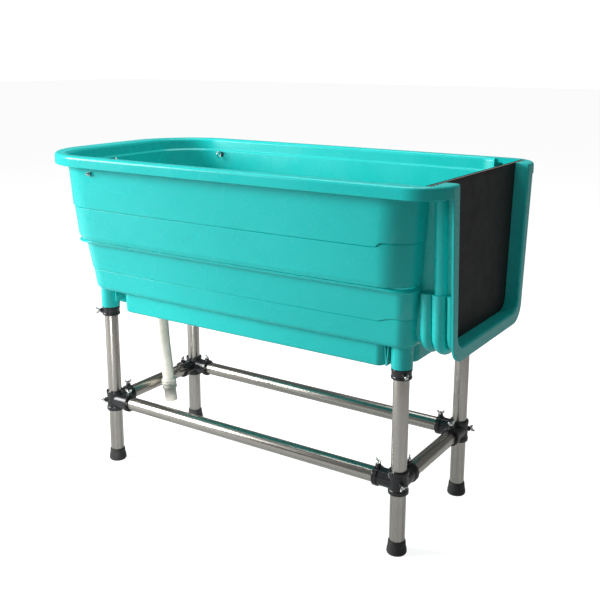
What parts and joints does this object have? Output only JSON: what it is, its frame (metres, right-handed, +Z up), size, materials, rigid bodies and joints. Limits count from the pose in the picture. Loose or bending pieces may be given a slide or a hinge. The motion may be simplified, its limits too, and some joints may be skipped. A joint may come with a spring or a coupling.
{
  "type": "pet bathtub",
  "caption": "Raised pet bathtub: stepped plastic tub with rolled rim and a lift-out end board, on a tube frame with clamped rails and a waste hose.",
  "frame": {"origin": "on the floor under the middle of the tub's outline", "axes": "+X along the tub towards the door end, +Y towards the back long side, +Z up"},
  "size_m": [1.23, 0.6398, 0.906],
  "materials": {
    "tub_plastic": "smooth moulded",
    "board_plastic": "fine-grained satin",
    "steel_tube": "brushed",
    "fitting_plastic": "moulded",
    "foot_rubber": "moulded",
    "bolt_steel": "plated",
    "waste_plastic": "moulded",
    "hose_plastic": "satin"
  },
  "bodies": {
    "root": {"tub_shell": "tub_plastic", "leg_front_left": "steel_tube", "foot_front_left": "foot_rubber", "leg_collar_front_left": "fitting_plastic", "corner_fitting_front_left": "fitting_plastic", "leg_front_right": "steel_tube", "foot_front_right": "foot_rubber", "leg_collar_front_right": "fitting_plastic", "corner_fitting_front_right": "fitting_plastic", "leg_back_right": "steel_tube", "foot_back_right": "foot_rubber", "leg_collar_back_right": "fitting_plastic", "corner_fitting_back_right": "fitting_plastic", "leg_back_left": "steel_tube", "foot_back_left": "foot_rubber", "leg_collar_back_left": "fitting_plastic", "corner_fitting_back_left": "fitting_plastic", "long_rail_front": "steel_tube", "long_rail_back": "steel_tube", "short_rail_left": "steel_tube", "short_rail_right": "steel_tube", "leash_eye_back": "bolt_steel", "leash_washer_back": "foot_rubber", "leash_nut_back": "bolt_steel", "leash_eye_left": "bolt_steel", "leash_washer_left": "foot_rubber", "leash_nut_left": "bolt_steel", "leash_eye_front": "bolt_steel", "leash_washer_front": "foot_rubber", "leash_nut_front": "bolt_steel", "drain_flange": "waste_plastic", "drain_gasket": "foot_rubber", "drain_lock_nut": "waste_plastic", "hose_nut": "waste_plastic", "drain_hose": "hose_plastic", "hose_cuff": "hose_plastic"},
    "door": {"door_panel": "board_plastic"},
    "bolt_long_front_left": {"wing_bolt_long_front_left": "bolt_steel"},
    "bolt_short_front_left": {"wing_bolt_short_front_left": "bolt_steel"},
    "bolt_leg_front_left": {"wing_bolt_leg_front_left": "bolt_steel"},
    "bolt_top_front_left": {"wing_bolt_top_front_left": "bolt_steel"},
    "bolt_long_front_right": {"wing_bolt_long_front_right": "bolt_steel"},
    "bolt_short_front_right": {"wing_bolt_short_front_right": "bolt_steel"},
    "bolt_leg_front_right": {"wing_bolt_leg_front_right": "bolt_steel"},
    "bolt_top_front_right": {"wing_bolt_top_front_right": "bolt_steel"},
    "bolt_long_back_right": {"wing_bolt_long_back_right": "bolt_steel"},
    "bolt_short_back_right": {"wing_bolt_short_back_right": "bolt_steel"},
    "bolt_leg_back_right": {"wing_bolt_leg_back_right": "bolt_steel"},
    "bolt_top_back_right": {"wing_bolt_top_back_right": "bolt_steel"},
    "bolt_long_back_left": {"wing_bolt_long_back_left": "bolt_steel"},
    "bolt_short_back_left": {"wing_bolt_short_back_left": "bolt_steel"},
    "bolt_leg_back_left": {"wing_bolt_leg_back_left": "bolt_steel"},
    "bolt_top_back_left": {"wing_bolt_top_back_left": "bolt_steel"},
    "stopper": {"drain_stopper": "foot_rubber"}
  },
  "joints": [
    {"name": "door_lift", "type": "slide", "parent": "root", "child": "door", "axis": [0, 0, 1], "range_m": [0, 0.4]},
    {"name": "turn_long_front_left", "type": "hinge", "parent": "root", "child": "bolt_long_front_left", "pos_m": [-0.3915, -0.177, 0.2158], "axis": [0, 0, 1], "range_deg": [-360, 360]},
    {"name": "turn_short_front_left", "type": "hinge", "parent": "root", "child": "bolt_short_front_left", "pos_m": [-0.446, -0.1225, 0.2158], "axis": [0, 0, 1], "range_deg": [-360, 360]},
    {"name": "turn_leg_front_left", "type": "hinge", "parent": "root", "child": "bolt_leg_front_left", "pos_m": [-0.46778, -0.19878, 0.185], "axis": [-0.7071, -0.7071, 0], "range_deg": [-360, 360]},
    {"name": "turn_top_front_left", "type": "hinge", "parent": "root", "child": "bolt_top_front_left", "pos_m": [-0.46778, -0.19878, 0.4553], "axis": [-0.7071, -0.7071, 0], "range_deg": [-360, 360]},
    {"name": "turn_long_front_right", "type": "hinge", "parent": "root", "child": "bolt_long_front_right", "pos_m": [0.476, -0.1225, 0.2158], "axis": [0, 0, 1], "range_deg": [-360, 360]},
    {"name": "turn_short_front_right", "type": "hinge", "parent": "root", "child": "bolt_short_front_right", "pos_m": [0.4215, -0.177, 0.2158], "axis": [0, 0, 1], "range_deg": [-360, 360]},
    {"name": "turn_leg_front_right", "type": "hinge", "parent": "root", "child": "bolt_leg_front_right", "pos_m": [0.49778, -0.19878, 0.185], "axis": [0.7071, -0.7071, 0], "range_deg": [-360, 360]},
    {"name": "turn_top_front_right", "type": "hinge", "parent": "root", "child": "bolt_top_front_right", "pos_m": [0.49778, -0.19878, 0.4553], "axis": [0.7071, -0.7071, 0], "range_deg": [-360, 360]},
    {"name": "turn_long_back_right", "type": "hinge", "parent": "root", "child": "bolt_long_back_right", "pos_m": [0.4215, 0.177, 0.2158], "axis": [0, 0, 1], "range_deg": [-360, 360]},
    {"name": "turn_short_back_right", "type": "hinge", "parent": "root", "child": "bolt_short_back_right", "pos_m": [0.476, 0.1225, 0.2158], "axis": [0, 0, 1], "range_deg": [-360, 360]},
    {"name": "turn_leg_back_right", "type": "hinge", "parent": "root", "child": "bolt_leg_back_right", "pos_m": [0.49778, 0.19878, 0.185], "axis": [0.7071, 0.7071, 0], "range_deg": [-360, 360]},
    {"name": "turn_top_back_right", "type": "hinge", "parent": "root", "child": "bolt_top_back_right", "pos_m": [0.49778, 0.19878, 0.4553], "axis": [0.7071, 0.7071, 0], "range_deg": [-360, 360]},
    {"name": "turn_long_back_left", "type": "hinge", "parent": "root", "child": "bolt_long_back_left", "pos_m": [-0.446, 0.1225, 0.2158], "axis": [0, 0, 1], "range_deg": [-360, 360]},
    {"name": "turn_short_back_left", "type": "hinge", "parent": "root", "child": "bolt_short_back_left", "pos_m": [-0.3915, 0.177, 0.2158], "axis": [0, 0, 1], "range_deg": [-360, 360]},
    {"name": "turn_leg_back_left", "type": "hinge", "parent": "root", "child": "bolt_leg_back_left", "pos_m": [-0.46778, 0.19878, 0.185], "axis": [-0.7071, 0.7071, 0], "range_deg": [-360, 360]},
    {"name": "turn_top_back_left", "type": "hinge", "parent": "root", "child": "bolt_top_back_left", "pos_m": [-0.46778, 0.19878, 0.4553], "axis": [-0.7071, 0.7071, 0], "range_deg": [-360, 360]},
    {"name": "stopper_lift", "type": "slide", "parent": "root", "child": "stopper", "axis": [0, 0, 1], "range_m": [0, 0.06]}
  ]
}
